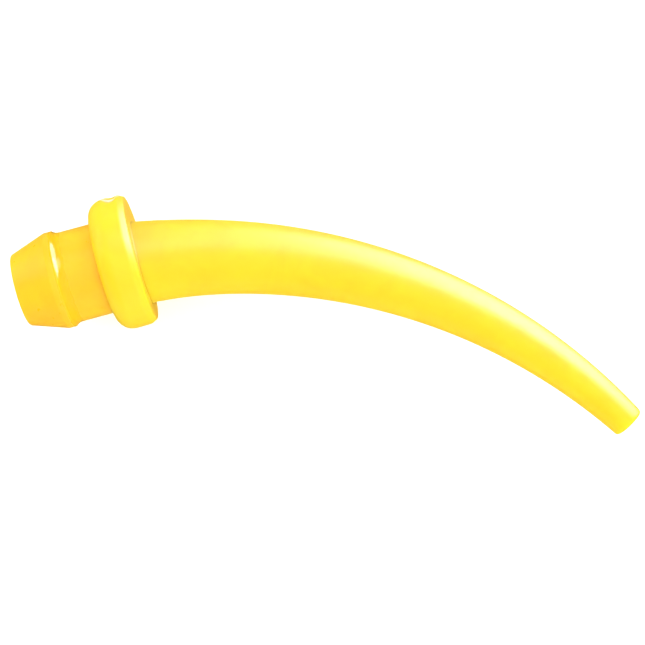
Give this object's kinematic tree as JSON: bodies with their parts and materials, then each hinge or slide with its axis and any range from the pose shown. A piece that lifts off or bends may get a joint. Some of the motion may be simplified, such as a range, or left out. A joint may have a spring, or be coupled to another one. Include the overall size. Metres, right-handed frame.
{
  "type": "saliva ejector tip",
  "caption": "Curved tapering suction tip: a barbed plug pushes into a low-volume line up to a stop collar, and the bent tube reaches into the mouth.",
  "frame": {"origin": "centre of the collar's rear face, on the connector plug's axis, where the suction line stops", "axes": "+X along the plug's axis towards the tip; the tube bends in the XY plane towards -Y; +Z square to the plane of the bend, up as the tip lies on its side"},
  "size_m": [0.0391, 0.025, 0.0092],
  "materials": {
    "plug_plastic": "satin moulded polypropylene, golden yellow",
    "collar_plastic": "satin moulded polypropylene, yellow",
    "tube_plastic": "satin moulded polypropylene, lemon yellow, slightly translucent"
  },
  "bodies": {
    "root": {"connector_plug": "plug_plastic", "collar": "collar_plastic", "curved_tube": "tube_plastic"}
  },
  "joints": []
}
